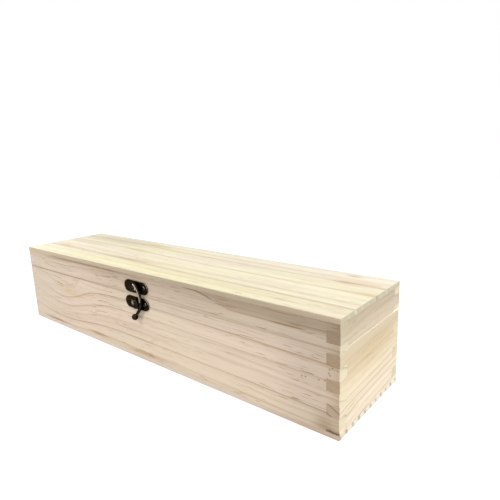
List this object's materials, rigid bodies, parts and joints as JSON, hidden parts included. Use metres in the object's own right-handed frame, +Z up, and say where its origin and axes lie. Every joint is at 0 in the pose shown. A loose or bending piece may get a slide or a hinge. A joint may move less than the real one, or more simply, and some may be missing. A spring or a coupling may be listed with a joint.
{
  "type": "wooden wine box",
  "caption": "Long slim pine box for one wine bottle, with finger-jointed corners, a lid hinged along the back and a swing-hook latch on the front.",
  "frame": {"origin": "middle of the box's underside, on the surface that it stands on", "axes": "+X along the length to the right as seen from the front, +Y to the hinged back, +Z up"},
  "size_m": [0.452, 0.12, 0.095],
  "materials": {
    "pine": "bare planed and sanded pine, no varnish",
    "bronze": "antique bronze, dark patina worn to brass on the edges",
    "latch_bronze": "antique bronze, nearly black with brass showing on the rims"
  },
  "bodies": {
    "base": {"base_front_panel": "pine", "base_back_panel": "pine", "base_left_end": "pine", "base_right_end": "pine", "base_bottom_panel": "pine", "left_hinge_base_leaf": "bronze", "right_hinge_base_leaf": "bronze", "left_hinge_pin": "bronze", "right_hinge_pin": "bronze", "hinge_base_screws": "bronze", "latch_catch_plate": "latch_bronze", "latch_catch_post": "latch_bronze", "catch_plate_screws": "latch_bronze"},
    "lid": {"lid_top_panel": "pine", "lid_front_rail": "pine", "lid_back_rail": "pine", "lid_left_end": "pine", "lid_right_end": "pine", "left_hinge_lid_leaf": "bronze", "right_hinge_lid_leaf": "bronze", "hinge_lid_screws": "bronze", "latch_hook_plate": "latch_bronze", "latch_rivet": "latch_bronze", "hook_plate_screws": "latch_bronze"},
    "hook": {"latch_hook": "latch_bronze"}
  },
  "joints": [
    {"name": "lid_hinge", "type": "hinge", "parent": "base", "child": "lid", "pos_m": [0, 0.0563, 0.0703], "axis": [-1, 0, 0], "range_deg": [0, 180]},
    {"name": "hook_swing", "type": "hinge", "parent": "lid", "child": "hook", "pos_m": [-0.0008, -0.0572, 0.0789], "axis": [0, -1, 0], "range_deg": [0, 180]}
  ]
}
